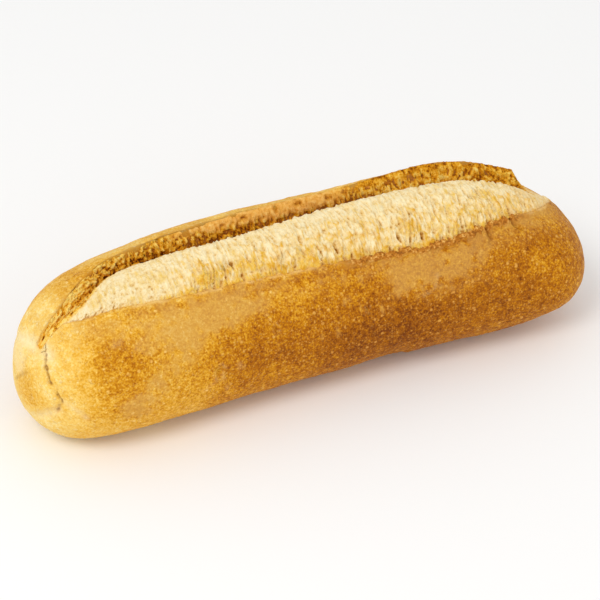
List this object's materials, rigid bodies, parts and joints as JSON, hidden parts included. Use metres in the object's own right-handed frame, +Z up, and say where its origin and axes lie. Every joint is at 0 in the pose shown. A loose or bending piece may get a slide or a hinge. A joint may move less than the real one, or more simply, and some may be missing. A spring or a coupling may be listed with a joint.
{
  "type": "bolillo roll",
  "caption": "Slender crusty bread roll with rounded ends and a long slash on top, with a lifted torn ear of crust beside a domed pale bloom of crumb, resting on a flattened base.",
  "frame": {"origin": "on the table, under the centre of the roll's bounding box", "axes": "+X along the roll, with the blunt lower end at -X and the end where the ear stops short at +X; +Y towards the side of the ear; +Z up"},
  "size_m": [0.18, 0.0584, 0.0491],
  "materials": {
    "baked_crust": "golden to amber-brown baked crust with fine blisters, and a paler cream open crumb along the slash"
  },
  "bodies": {
    "root": {"bolillo_roll": "baked_crust"}
  },
  "joints": []
}
